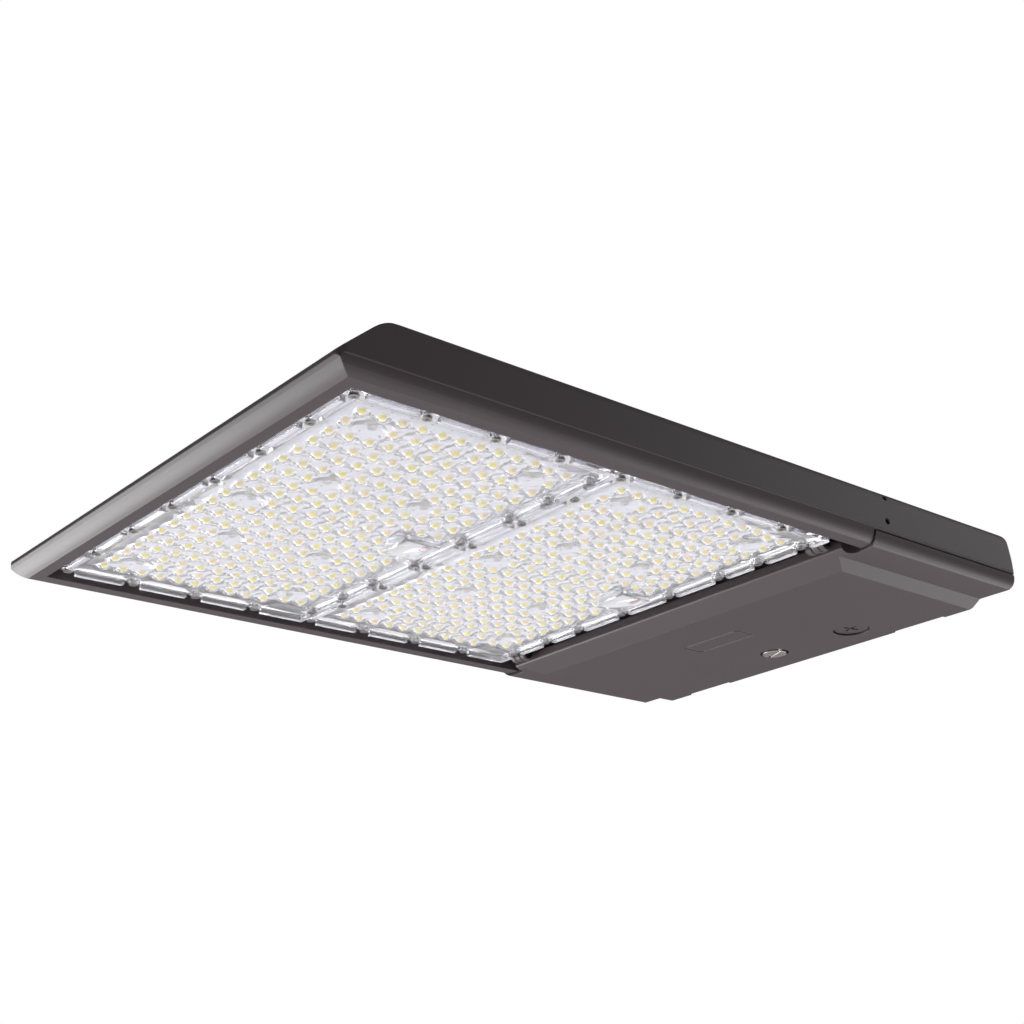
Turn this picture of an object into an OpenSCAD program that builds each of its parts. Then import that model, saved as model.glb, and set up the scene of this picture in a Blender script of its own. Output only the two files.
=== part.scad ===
// Shoebox area light, seen in its working position: the light window and the door face down.
// Origin: centre of the rear mounting face. +Y points out of that face, the nose points to -Y.
// X runs across, and Z runs up.

/* [Housing] */
// Width across the side walls
body_w = 375; // [374:1:378]
// Length from the mounting face to the nose tip
body_l = 567; // [566:1:568]
// Top edge of the side walls above the mounting axis
wall_top = 14; // [13:0.5:15]
// Top of the crown above the mounting axis
crown_top = 22; // [21:0.5:23]
// Flat rim below the mounting axis
rim_drop = 21.5; // [21:0.5:22]
// Lower edge of the flat part of the side walls below the mounting axis
ridge_drop = 13; // [12.5:0.5:13.5]
// Wall thickness of the casting
wall = 3.5; // [3:0.25:4]

/* [Light window] */
// Width of the window in the rim
window_w = 341; // [339:1:342]
// Front edge of the window, measured forward from the mounting face
window_front = 548; // [547:1:549]
// Width of one lens across the body
lens_w = 328; // [327:1:329]
// Spacing of the two lenses along the body
lens_pitch = 185.25; // [185:0.25:185.5]
// Front edge of the front lens, measured forward from the mounting face
lens_front_y = 543.5; // [543:0.5:544]
// Spacing of the LEDs across the body
led_pitch_x = 15; // [14.9:0.05:15.1]
// Spacing of the LEDs along the body
led_pitch_y = 13.15; // [13.1:0.05:13.2]
// Rows of LEDs across the body
led_rows = 20; // [20:1:20]
// Columns of LEDs along one board
led_cols = 12; // [12:1:12]

/* [Cooling fins] */
// Number of fins on each side of the wiring rib
fins_per_side = 11; // [6:1:11]
// Spacing of the fins
fin_pitch = 14.5; // [14:0.25:14.75]
// Thickness of a fin
fin_t = 2.6; // [2:0.2:3.2]

/* [Driver bay and door] */
// Front edge of the door, measured forward from the mounting face
door_front = 160.5; // [160:0.5:160.5]
// Drop of the door's flat rim below the mounting axis
door_rim_drop = 23.25; // [23:0.25:23.5]
// Drop of the door's raised panel below the mounting axis
panel_drop = 29; // [28.5:0.5:29.5]
// Skin thickness of the door
door_t = 3; // [2.5:0.25:3]
// Hinge axis, measured forward from the mounting face
hinge_y = 166.5; // [166.5:0.5:167]
// Hinge axis below the mounting axis
hinge_drop = 16.8; // [16.6:0.1:17]
// Diameter of the hinge pins
hinge_pin_d = 5; // [4:0.5:5]

/* [Latch and port] */
// Diameter of the latch head
latch_head_d = 18; // [17:0.5:19]
// Latch axis to the left of the centre plane
latch_x = 5; // [4:0.5:6]
// Latch axis, measured forward from the mounting face
latch_y = 35.5; // [35:0.5:36]
// Port axis to the right of the centre plane
port_x = 67; // [66:1:68]
// Port axis, measured forward from the mounting face
port_y = 33; // [32.5:0.5:33.5]
// Diameter of the port plug's disc
port_d = 24.6; // [24:0.2:24.8]

/* [Mounting] */
// Distance between the two arm bolts
bolt_spacing = 92; // [88:1:96]
// Diameter of the arm bolt holes
bolt_hole_d = 11; // [10.5:0.5:11]
// Diameter of the cable entry's hole in the casting
entry_d = 18; // [17:0.5:18]
// Bore of the supply grommet
grommet_bore = 10; // [8:1:10]

/* [Hidden] */
$fn = 40;
eps = 0.01;
half_w = body_w / 2;
nose_y = -body_l;

// Nose: a short lip, a bulged bevel below it and a long slope above it
lip_low = -13.5;
lip_high = -11.25;
nose_bevel = 10.5;
nose_round = 35;
nose_top_y = nose_y + 43;
slope_angle = 39.9;
// Side bands between the wall and the rim
ridge_step = 0.6;
rim_half = half_w - 7.5;
band_bulge = 56;
nose_bulge = 36;
corner_r = 5;
crown_half = 150;
crown_front_y = nose_y + 97;
crown_rear_y = -32;
rear_round = 9;
rear_lean = 5.5;

// Levels of the optical stack, from the deck down, and what holds it
deck_low = -12.2;
deck_t = 4;
board_t = 1.6;
led_h = 0.8;
led_size = 5;
plate_high = -15.4;
plate_low = -16.6;
bar_low = -20.1;
bar_w = 4.4;
bar_end = 6;
lens_gap = 0.6;
frame_w = 11;
seal_in = 0.8;
seal_w = 10.4;
seal_h = 1.5;
seal_hole_r = 2.1;
lens_screw_in = 4.6;
lens_screw_d = 3.4;
lens_boss = [4.3, -17.6];
front_screw_x = [24, 72, 120];
side_screw_pitch = 46.2;
rear_screw_x = [24, 71, 106.5, 143.5];
board_screw_d = 3;
led1_y = -522;
led1_x = (led_rows - 1) * led_pitch_x / 2;
board_w = 305;
board_l = 161.25;
board_in = 11.5;
screw_play = 0.03;

// Wiring rib on the deck and the notch that the leads pass
rib_half = 9;
rib_top = 6;
groove_half = 5;
groove_top = 2;
lead_d = 2.4;
lead_x = 1.5;
lead_bore_r = 4;
lead_bore_z = -1.2;
connector = [22, 13, 5];
connector_x = -2;
pocket_play = 1.5;
pocket_wall = 1;
connector_in = 150.5;
notch_in = 165;

// Raised rear strip of the deck over the hinge, the basin above, and its drain slots
gap_low = -8;
step_y = -172;
basin_half = 176;
basin_rear_y = -146;
basin_front_y = nose_y + 29;
fins_front_y = nose_y + 45;
fins_rear_y = -186;
fin_start = 3;
slot_x = [34, 90];
slot_size = [42, 10];
slot_y = -165;

// Driver bay
bay_half = half_w - wall;
bay_rear_y = -rear_lean - wall;
bay_top = crown_top - wall;
part_z = -14;
part_gap = 0.9;
ledge_t = 3;
ledge_w = 12;
rib_low = -17.3;
rib_ring_half = 176.5;
rib_ring_t = 3;
rib_ring_rear = -11.5;
bulkhead_y = [-145.5, -140];
seal_ring = [178, -145.5, -10];
door_seal_w = 6;
door_seal_low = -20.25;
door_seal_high = -17.6;

// Door details
tongue_in = 163.5;
tongue_y = -150.8;
tongue_r = 5;
tongue_outer_r = 32;
panel_half = 147.75;
panel_front = 143.25;
door_bevel = 8.25;
door_edge_high = -21.4;
door_front_r = 2;
ear_t = 5;
ear_x = 148.5;
ear_r = 4.5;
ear_play = 0.6;
ear_web_low = -19.3;
cheek_t = 4;
pin_play = 0.05;
latch_recess_d = 21.5;
latch_recess_h = 5;
latch_proud = 0.7;
latch_slot = [2, 1.6];
latch_slot_angle = -21;
latch_shank_d = 8;
latch_boss = [14, -20];
port_recess_d = 26.6;
port_recess_h = 3.5;
port_face = -27.7;
port_disc_t = 1.5;
port_cross = [13, 2.2, 1.5];
port_cross_angle = -14;
port_thread_d = 18;
port_boss = [19, -23];
notch_x = [82, 126];
notch_depth = 3.5;
label_centre = [-8, -94.5];
label_size = [54, 20];
label_groove = [1.2, 0.8];

// Mounting pad on the rear wall
pad = [150, 24];
pad_t = 14;

// Bay contents
post_r = 10;
post_low = -3;
cup_r = 9;
cup_wall = 2.5;
cup_low = -12.5;
tray = [292, 66, 2];
tray_screw_at = [136, 26];
tray_y = -102;
tray_top = 14;
boss_r = 5;
driver = [112, 52, 31];
driver_x = 68;
driver_foot = [10, 24, 3];
spd = [58, 32, 22];
spd_at = [-111, -52.5];
terminal = [36, 18, 17];
terminal_at = [-48, -51];
terminal_screw_dy = 13;
terminal_poles = 3;
ground_at = [36, -44];
vent_at = [-100, 5];
side_screw_y = -142.7;
side_screw_z = [10.2, -6.3];
side_screw_d = 4;

// ---- shared shapes ----

// Points along a circle from angle a to angle b
function arc(c, r, a, b, n) =
    [for (i = [0 : n]) c + r * [cos(a + (b - a) * i / n), sin(a + (b - a) * i / n)]];

// Points from p to q on an arc of the given angle that bulges to the right of the way p to q
function bulge(p, q, angle, n) =
    let (
        chord = q - p,
        r = norm(chord) / (2 * sin(angle / 2)),
        out = [chord[1], -chord[0]] / norm(chord),
        c = (p + q) / 2 - out * r * cos(angle / 2),
        mid = atan2(out[1], out[0])
    ) arc(c, r, mid - angle / 2, mid + angle / 2, n);

// A half outline, and the same outline mirrored and walked back
function both_sides(half) =
    concat(half, [for (i = [len(half) - 1 : -1 : 0]) [-half[i][0], half[i][1]]]);

module box(x, y, z) {
    translate([x[0], y[0], z[0]]) cube([x[1] - x[0], y[1] - y[0], z[1] - z[0]]);
}

// An outline in X and Z, run along Y
module along_y(y0, y1) {
    translate([0, y1, 0]) rotate([90, 0, 0]) linear_extrude(y1 - y0) children();
}

// An outline in Y and Z, run along X
module along_x(x0, x1) {
    translate([x0, 0, 0]) rotate([90, 0, 90]) linear_extrude(x1 - x0) children();
}

module cyl(at, r, z) {
    translate([at[0], at[1], z[0]]) cylinder(r = r, h = z[1] - z[0]);
}

module cyl_y(x, z, r, y0, y1) {
    translate([x, y1, z]) rotate([90, 0, 0]) cylinder(r = r, h = y1 - y0);
}

module cyl_x(y, z, r, x0, x1) {
    translate([x0, y, z]) rotate([0, 90, 0]) cylinder(r = r, h = x1 - x0);
}

module mirrored() {
    children();
    mirror([1, 0, 0]) children();
}

module rounded_rect(x, y, r) {
    translate([x[0] + r, y[0]]) square([x[1] - x[0] - 2 * r, y[1] - y[0]]);
    translate([x[0], y[0] + r]) square([x[1] - x[0], y[1] - y[0] - 2 * r]);
    for (cx = [x[0] + r, x[1] - r], cy = [y[0] + r, y[1] - r]) translate([cx, cy]) circle(r);
}

module ring(half, y0, y1, w, z) {
    difference() {
        box([-half, half], [y0, y1], z);
        box([-half + w, half - w], [y0 + w, y1 - w], [z[0] - 1, z[1] + 1]);
    }
}

// ---- housing ----

// Outline across the body: rim, bulged bands, walls and a low crown
module body_section() {
    polygon(both_sides(concat(
        [for (p = bulge([rim_half, -rim_drop], [half_w - ridge_step, -ridge_drop], band_bulge, 7)) p],
        [[half_w, -ridge_drop]],
        arc([half_w - corner_r, wall_top - corner_r], corner_r, 0, 80, 4),
        [[crown_half, crown_top]]
    )));
}

// Outline along the body: nose lip, bevel, slope, crown and the leaning rear wall
module body_profile() {
    polygon(concat(
        [[-1, -rim_drop], [-1, part_z]],
        arc([-rear_round - rear_lean, wall_top - rear_round], rear_round, 8, 90, 5),
        [[crown_rear_y, crown_top], [crown_front_y, crown_top], [nose_y + 67, wall_top + 1]],
        arc([nose_top_y, wall_top - nose_round], nose_round, 90, 90 + slope_angle, 6),
        [[nose_y, lip_high]],
        bulge([nose_y, lip_low], [nose_y + nose_bevel, -rim_drop], nose_bulge, 5)
    ));
}

module body_form() {
    intersection() {
        along_y(nose_y, 0) body_section();
        along_x(-half_w, half_w) body_profile();
        translate([0, 0, -50]) linear_extrude(100)
            rounded_rect([-half_w, half_w], [nose_y, 0], corner_r);
    }
}

// Plan of one rounded end of the side rims, where the door begins
module tongue(gap) {
    mirrored() polygon(concat(
        [[tongue_in - gap, -300]],
        arc([tongue_in + tongue_r, tongue_y - tongue_r], tongue_r + gap, 180, 90, 4),
        arc([tongue_in + tongue_r, tongue_y - tongue_outer_r], tongue_outer_r + gap, 82, 50, 5),
        [[half_w + 20, -170], [half_w + 20, -300]]
    ));
}

module fins() {
    mirrored() for (i = [1 : fins_per_side])
        box([fin_start + i * fin_pitch, fin_start + i * fin_pitch + fin_t], [fins_front_y, fins_rear_y],
            [deck_low, crown_top + 5]);
    box([-rib_half, rib_half], [-430, basin_rear_y - eps], [deck_low, rib_top]);
}

module basin() {
    difference() {
        along_x(-basin_half, basin_half) polygon([
            [basin_front_y, deck_low + deck_t], [basin_front_y + 12, wall_top - 5],
            [basin_front_y + 14, 40], [basin_rear_y, 40], [basin_rear_y, gap_low + deck_t],
            [step_y - deck_t, gap_low + deck_t], [step_y - deck_t, deck_low + deck_t]
        ]);
        fins();
    }
}

// Hollow for the drivers and the wiring, open below
module bay() {
    intersection() {
        along_y(basin_rear_y, bay_rear_y) polygon(both_sides([
            [bay_half, -rim_drop - 5], [bay_half, wall_top - wall - 1],
            [bay_half - 4, wall_top - wall + 1], [crown_half - 1, bay_top]
        ]));
        along_x(-half_w, half_w) polygon(concat(
            [[basin_rear_y - 1, -60], [bay_rear_y, -60]],
            arc([-rear_round - rear_lean, wall_top - rear_round], rear_round - wall, 0, 90, 4),
            [[crown_rear_y - 1.5, bay_top], [crown_rear_y - 1.5, crown_top + 1],
             [basin_rear_y - 1, crown_top + 1]]
        ));
    }
}

// The light window from below, with the deeper strip behind it over the hinge
module window() {
    box([-window_w / 2, window_w / 2], [-window_front, step_y], [-60, deck_low]);
    box([-window_w / 2, window_w / 2], [step_y - eps, basin_rear_y + eps], [-60, gap_low]);
}

// Space below the parting line that the door fills
module door_space() {
    translate([0, 0, -50]) linear_extrude(50 + part_z) difference() {
        translate([-half_w - 10, -180]) square([body_w + 20, 200]);
        tongue(0);
    }
}

lens_l = lens_pitch - lens_gap;
function lens_y(k) = -lens_front_y + k * lens_pitch;
function led_y(k, c) = led1_y + k * lens_pitch + c * led_pitch_y;

// The last two columns draw in towards the connector, which stands between rows 9 and 12
function drawn_in(row, c) =
    c < led_cols - 2 ? 0 : row < 9 ? -3.2 : row > 10 ? 1.6 + (row - 11) * 0.67 : 0;
function led_x(row, c) = led1_x - row * led_pitch_x + drawn_in(row, c);

// Screw-hole columns and LED columns of each kind of row; columns count from 0
screw_rows = [[1, [1.3, 9.85]], [9, [1.3]], [18, [1.3, 9.85]], [6, [3, 8.25]], [13, [3, 8.25]]];
sparse_row = [0, 2.37, 3.48, 4.52, 5.57, 6.61, 7.63, 8.68, 11];
function row_cols(row) =
    row == 1 || row == 18 ? sparse_row
    : row == 9 ? [for (i = [0 : 7]) sparse_row[i]]
    : row == 6 || row == 13 ? [0, 1, 2, 4, 5, 6, 7, 9, 10, 11]
    : row == 10 ? [for (c = [0 : 9]) c]
    : [for (c = [0 : led_cols - 1]) c];

// Places of the screws round one lens: front line with its corners, both sides, rear line
lens_edge_x = lens_w / 2 - lens_screw_in;
front_line = concat(front_screw_x, [lens_edge_x]);
side_line = [for (i = [0 : 3]) lens_screw_in + i * side_screw_pitch];
function lens_screw_places(k) = [
    for (side = [-1, 1]) each concat(
        [for (x = front_line) [side * x, lens_y(k) + lens_screw_in]],
        [for (i = [1 : 3]) [side * lens_edge_x, lens_y(k) + side_line[i]]],
        [for (x = rear_screw_x) [side * x, lens_y(k) + lens_l - lens_screw_in]]
    )
];

function board_screw_places(k) =
    [for (r = screw_rows, c = r[1]) [led1_x - r[0] * led_pitch_x, led_y(k, c)]];

module screw_holes() {
    for (k = [0, 1]) {
        for (p = lens_screw_places(k))
            cyl(p, lens_screw_d / 2 + screw_play, [deck_low - 1, deck_low + deck_t - 0.3]);
        for (p = board_screw_places(k))
            cyl(p, board_screw_d / 2 + screw_play, [deck_low - 1, deck_low + deck_t - 0.3]);
    }
}

module drain_slots() {
    mirrored() for (x = slot_x)
        translate([x, slot_y, gap_low + deck_t / 2])
            cube([slot_size[0], slot_size[1], deck_t + 2], center = true);
}

// Groove under the deck and the bore behind it, which hold the LED leads
module lead_way() {
    box([-groove_half, groove_half], [-395, -183], [deck_low - 1, groove_top]);
    cyl_y(0, lead_bore_z, lead_bore_r, -184, basin_rear_y + 1);
}

module sealing_lip() {
    difference() {
        box([-bay_half - 1, bay_half + 1], [basin_rear_y, bay_rear_y + 1], [part_z, part_z + ledge_t]);
        box([-bay_half + ledge_w, bay_half - ledge_w], [basin_rear_y - 1, bay_rear_y - 8], [-30, 0]);
    }
    difference() {
        box([-rib_ring_half, rib_ring_half], [bulkhead_y[1], rib_ring_rear], [rib_low, part_z + 1]);
        box([-rib_ring_half + rib_ring_t, rib_ring_half - rib_ring_t],
            [bulkhead_y[1] - 1, rib_ring_rear - rib_ring_t], [-30, 0]);
    }
}

// One lug of the hinge, hanging from the deck
module cheek(x0) {
    along_x(x0, x0 + cheek_t) {
        translate([-hinge_y, -hinge_drop]) circle(ear_r);
        translate([-hinge_y - ear_r, -hinge_drop]) square([2 * ear_r, hinge_drop + gap_low + 1]);
    }
}

module hinge_cheeks() {
    mirrored() difference() {
        for (x = [ear_x - ear_t / 2 - ear_play - cheek_t, ear_x + ear_t / 2 + ear_play]) cheek(x);
        cyl_x(-hinge_y, -hinge_drop, hinge_pin_d / 2 + screw_play, ear_x - 20, ear_x + 20);
    }
}

tray_screw_places = [for (x = [-1, 1], y = [-1, 1]) [x * tray_screw_at[0], tray_y + y * tray_screw_at[1]]];
accessory_places = [
    [spd_at[0] - 34, spd_at[1]], [spd_at[0] + 34, spd_at[1]],
    [terminal_at[0], terminal_at[1] - terminal_screw_dy],
    [terminal_at[0], terminal_at[1] + terminal_screw_dy]
];
receptacle_places = [[-latch_x - 6, -latch_y], [-latch_x + 6, -latch_y]];

module bay_bosses() {
    intersection() {
        union() {
            for (p = tray_screw_places) cyl(p, boss_r, [tray_top, bay_top + 1]);
            cyl([-latch_x, -latch_y], post_r, [post_low, bay_top + 1]);
            cyl(ground_at, boss_r, [8, bay_top + 1]);
        }
        body_form();
    }
}

// Flat boss on the rear wall that the arm seats on
module arm_pad() {
    box([-pad[0] / 2, pad[0] / 2], [-pad_t, 0], [-pad[1] / 2, pad[1] / 2]);
}

// Holes for the screws that hold the bulkhead, from x0 outward
module side_screw_holes(x0) {
    mirrored() for (z = side_screw_z)
        cyl_x(side_screw_y, z, side_screw_d / 2 + screw_play, x0, half_w + 1);
}

module bay_holes() {
    for (p = tray_screw_places) cyl(p, 2 + screw_play, [tray_top - 1, bay_top + 1]);
    for (p = accessory_places) cyl(p, 2 + screw_play, [bay_top - 1, bay_top + 2.2]);
    for (p = receptacle_places) cyl(p, 1.5 + screw_play, [post_low - 1, post_low + 8]);
    cyl(ground_at, 2.5 + screw_play, [7, bay_top]);
    for (x = [-bolt_spacing / 2, bolt_spacing / 2]) cyl_y(x, 0, bolt_hole_d / 2, -pad_t - 1, 1);
    cyl_y(0, 0, entry_d / 2, -pad_t - 1, 1);
    side_screw_holes(bay_half - 14);
}

module housing() {
    color([0.33, 0.31, 0.31]) difference() {
        union() {
            difference() {
                body_form();
                window();
                basin();
                bay();
                door_space();
                drain_slots();
            }
            sealing_lip();
            hinge_cheeks();
            bay_bosses();
            arm_pad();
        }
        screw_holes();
        lead_way();
        bay_holes();
    }
}

// ---- bulkhead between the hinge gap and the bay ----

module bulkhead() {
    color([0.45, 0.44, 0.44]) difference() {
        along_y(bulkhead_y[0], bulkhead_y[1]) polygon(concat(
            [[-rib_ring_half, rib_low], [rib_ring_half, rib_low], [rib_ring_half, part_z - 0.2],
             [bay_half - 0.2, part_z - 0.2], [bay_half - 0.2, wall_top - wall - 1.4],
             [bay_half - 4.2, wall_top - wall + 0.7], [crown_half - 1, bay_top - 0.3]],
            [[-crown_half + 1, bay_top - 0.3], [-bay_half + 4.2, wall_top - wall + 0.7],
             [-bay_half + 0.2, wall_top - wall - 1.4], [-bay_half + 0.2, part_z - 0.2],
             [-rib_ring_half, part_z - 0.2]]
        ));
        side_screw_holes(bay_half - 14);
        mirrored() box([bay_half - ledge_w - 0.2, bay_half + 1], [-160, -130],
            [part_z - 0.1, part_z + ledge_t + 0.2]);
        cyl_y(0, lead_bore_z, 6, -160, -130);
        cyl_y(vent_at[0], vent_at[1], 6, -160, -130);
    }
}

module bulkhead_screws() {
    color([0.12, 0.12, 0.12]) mirrored() for (z = side_screw_z) difference() {
        cyl_x(side_screw_y, z, side_screw_d / 2, bay_half - 12, half_w - 1.2);
        cyl_x(side_screw_y, z, 1, half_w - 3.2, half_w);
    }
}

// ---- light engines: k is 0 for the front one, 1 for the rear one ----

module led_board(k) {
    color([0.93, 0.93, 0.92]) difference() {
        box([-board_w / 2, board_w / 2], [lens_y(k) + board_in, lens_y(k) + board_in + board_l],
            [deck_low - board_t, deck_low]);
        for (p = board_screw_places(k)) cyl(p, board_screw_d / 2 + 0.1, [deck_low - 5, deck_low + 1]);
        box([-groove_half, groove_half], [lens_y(k) + notch_in, lens_y(k) + notch_in + 20],
            [deck_low - 5, deck_low + 1]);
    }
}

// LED packages, as plain blocks
module leds(k) {
    color([0.95, 0.82, 0.35])
        for (row = [0 : led_rows - 1], c = row_cols(row))
            translate([led_x(row, c), led_y(k, c), deck_low - board_t - led_h / 2])
                cube([led_size, led_size, led_h], center = true);
}

module board_connector(k) {
    color([0.9, 0.9, 0.88]) difference() {
        translate([connector_x, lens_y(k) + connector_in, deck_low - board_t])
            translate([-connector[0] / 2, 0, -connector[2]]) cube(connector);
        for (side = [-1, 1])
            cyl_y(side * lead_x, deck_low - board_t - connector[2] / 2, lead_d / 2 + screw_play,
                lens_y(k) + connector_in + connector[1] - 6, lens_y(k) + connector_in + connector[1] + 1);
    }
}

// Two wires: out of the connector, up through the board's notch, along the rib and into a driver
module led_leads(k) {
    side = k == 0 ? -1 : 1;
    z_low = deck_low - board_t - connector[2] / 2;
    z_high = lead_bore_z - side * 1.6;
    y_out = lens_y(k) + connector_in + connector[1] - 5;
    y_rise = lens_y(k) + notch_in + 3.5;
    color([0.75, 0.1, 0.1]) for (near = [-1, 1]) {
        x = side * near * lead_x;
        y_end = tray_y - 13 + near * 3;
        cyl_y(x, z_low, lead_d / 2, y_out, y_rise);
        translate([x, y_rise, z_low]) sphere(d = lead_d);
        cyl([x, y_rise], lead_d / 2, [z_low, z_high]);
        translate([x, y_rise, z_high]) sphere(d = lead_d);
        cyl_y(x, z_high, lead_d / 2, y_rise, y_end);
        translate([x, y_end, z_high]) sphere(d = lead_d);
        mirror([side < 0 ? 1 : 0, 0, 0])
            cyl_x(y_end, z_high, lead_d / 2, near * lead_x, driver_x - driver[0] / 2);
    }
}

// Flat gasket below the whole width of a lens frame, with a hole round each screw
module lens_gasket(k) {
    y0 = lens_y(k) + seal_in;
    y1 = lens_y(k) + lens_l - seal_in;
    color([0.85, 0.85, 0.88]) difference() {
        ring(lens_w / 2 - seal_in, y0, y1, seal_w, [deck_low - seal_h, deck_low]);
        for (p = lens_screw_places(k)) cyl(p, seal_hole_r, [deck_low - seal_h - 1, deck_low + 1]);
    }
}

// One raised bar of a lens frame, in the space from a to b between two screws
module frame_bar(a, b, z) {
    x = [min(a[0], b[0]), max(a[0], b[0])];
    y = [min(a[1], b[1]), max(a[1], b[1])];
    translate([0, 0, z[0]]) linear_extrude(z[1] - z[0]) rounded_rect(x, y, 1.2);
}

module frame_bars(k) {
    z = [bar_low, plate_high];
    edge = lens_w / 2;
    y0 = lens_y(k);
    y1 = y0 + lens_l;
    rear_line = concat(rear_screw_x, [edge + bar_end]);
    sides = concat(side_line, [lens_l + bar_end]);
    frame_bar([bar_end - front_line[0], y0], [front_line[0] - bar_end, y0 + bar_w], z);
    frame_bar([bar_end - rear_line[0], y1 - bar_w], [rear_line[0] - bar_end, y1], z);
    mirrored() {
        for (i = [0 : 2])
            frame_bar([front_line[i] + bar_end, y0], [front_line[i + 1] - bar_end, y0 + bar_w], z);
        for (i = [0 : 3]) {
            frame_bar([rear_line[i] + bar_end, y1 - bar_w], [rear_line[i + 1] - bar_end, y1], z);
            frame_bar([edge - bar_w, y0 + sides[i] + bar_end], [edge, y0 + sides[i + 1] - bar_end], z);
        }
    }
}

// A clear plate in a thicker frame with raised bars between the screw bosses, a pocket over the
// connector and a hole through each boss
module lens(k) {
    y0 = lens_y(k);
    y1 = y0 + lens_l;
    pocket_half = connector[0] / 2 + pocket_play;
    pocket_x = [connector_x - pocket_half, connector_x + pocket_half];
    pocket_y = [y0 + connector_in - pocket_play, y1 - frame_w + eps];
    color([0.85, 0.88, 0.95, 0.4]) difference() {
        union() {
            ring(lens_w / 2, y0, y1, frame_w, [plate_low, deck_low - seal_h]);
            box([-lens_w / 2 + 1, lens_w / 2 - 1], [y0 + 1, y1 - 1], [plate_low, plate_high]);
            box(pocket_x + [-pocket_wall, pocket_wall], [pocket_y[0] - pocket_wall, pocket_y[1]],
                [bar_low, plate_high]);
            frame_bars(k);
            for (p = lens_screw_places(k)) cyl(p, lens_boss[0], [lens_boss[1], plate_high]);
        }
        box(pocket_x, pocket_y, [bar_low + 1, 0]);
        for (p = lens_screw_places(k)) cyl(p, lens_screw_d / 2 + 0.15, [-30, 0]);
    }
}

// Pan-head screw that points up, with a cross recess; z is the underside of its head
module screw(at, z, d, length) {
    difference() {
        union() {
            cyl(at, d / 2, [z, z + length]);
            cyl(at, d * 0.85, [z - d * 0.5, z]);
        }
        for (a = [0, 90]) translate([at[0], at[1], z - d * 0.5]) rotate(a)
            cube([d * 0.9, d * 0.2, d * 0.5], center = true);
    }
}

module lens_screws() {
    color("silver") for (k = [0, 1], p = lens_screw_places(k))
        screw(p, lens_boss[1], lens_screw_d, deck_low + deck_t - 0.5 - lens_boss[1]);
}

module board_screws() {
    color("silver") for (k = [0, 1], p = board_screw_places(k))
        screw(p, deck_low - board_t, board_screw_d, board_t + deck_t - 0.5);
}

// ---- driver bay contents ----

driver_screw_places = [
    for (side = [-1, 1], end = [-1, 1]) [side * driver_x + end * (driver[0] + driver_foot[0]) / 2, tray_y]
];

module driver_tray() {
    color([0.75, 0.75, 0.76]) difference() {
        box([-tray[0] / 2, tray[0] / 2], [tray_y - tray[1] / 2, tray_y + tray[1] / 2],
            [tray_top - tray[2], tray_top]);
        for (p = tray_screw_places) cyl(p, 2.2, [0, 20]);
        for (p = driver_screw_places) cyl(p, 1.5 + screw_play, [0, 20]);
    }
}

module tray_screws() {
    color("silver") for (p = tray_screw_places) screw(p, tray_top - tray[2], 4, 5.5);
}

// Potted driver: a case with a mounting foot at both ends and ribs along its lower face
module driver_case(side) {
    z_top = tray_top - tray[2];
    color([0.2, 0.2, 0.21]) translate([side * driver_x, tray_y, z_top]) difference() {
        union() {
            translate([-driver[0] / 2, -driver[1] / 2, -driver[2]]) cube(driver);
            translate([-driver[0] / 2 - driver_foot[0], -driver_foot[1] / 2, -driver_foot[2]])
                cube([driver[0] + 2 * driver_foot[0], driver_foot[1], driver_foot[2]]);
            for (i = [-2 : 2]) translate([-driver[0] / 2, i * 10 - 1, -driver[2] - 1])
                cube([driver[0], 2, 2]);
        }
        for (end = [-1, 1]) cyl([end * (driver[0] + driver_foot[0]) / 2, 0], 1.7, [-10, 10]);
    }
}

module driver_left() {
    driver_case(-1);
}

module driver_right() {
    driver_case(1);
}

module driver_screws() {
    color("silver") for (p = driver_screw_places) screw(p, tray_top - tray[2] - driver_foot[2], 3, 5);
}

module surge_protector() {
    color([0.75, 0.1, 0.1]) difference() {
        union() {
            translate([spd_at[0], spd_at[1], bay_top - spd[2]]) linear_extrude(spd[2])
                rounded_rect([-spd[0] / 2, spd[0] / 2], [-spd[1] / 2, spd[1] / 2], 4);
            translate([spd_at[0] - 39, spd_at[1] - 6, bay_top - 3]) cube([78, 12, 3]);
        }
        for (i = [0, 1]) cyl(accessory_places[i], 2.2, [0, 30]);
    }
}

module terminal_block() {
    color([0.85, 0.85, 0.82]) difference() {
        union() {
            translate([terminal_at[0], terminal_at[1], bay_top - terminal[2] / 2])
                cube(terminal, center = true);
            translate([terminal_at[0] - 6, terminal_at[1] - 16.5, bay_top - 3]) cube([12, 33, 3]);
        }
        for (i = [0 : terminal_poles - 1]) {
            x = terminal_at[0] + (i - (terminal_poles - 1) / 2) * 11;
            cyl([x, terminal_at[1]], 3.2, [bay_top - terminal[2] - 1, bay_top - terminal[2] + 6]);
            cyl_y(x, bay_top - 10.5, 2.4, terminal_at[1] - 20, terminal_at[1] - 5);
            cyl_y(x, bay_top - 10.5, 2.4, terminal_at[1] + 5, terminal_at[1] + 20);
        }
        for (i = [2, 3]) cyl(accessory_places[i], 2.2, [0, 30]);
    }
}

module accessory_screws() {
    color("silver") for (p = accessory_places) screw(p, bay_top - 3, 4, 5);
}

module ground_screw() {
    color([0.1, 0.55, 0.2]) screw(ground_at, 8, 5, 9);
}

// Rubber bush with a groove that grips the edge of its hole
module bush(x, z, y0, y1, hole_r, bore_r) {
    difference() {
        union() {
            cyl_y(x, z, hole_r - screw_play, y0 - 2.5, y1);
            cyl_y(x, z, hole_r + 1.8, y0 - 2.5, y0 - screw_play);
        }
        cyl_y(x, z, bore_r, y0 - 5, y1 + 5);
    }
}

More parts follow.
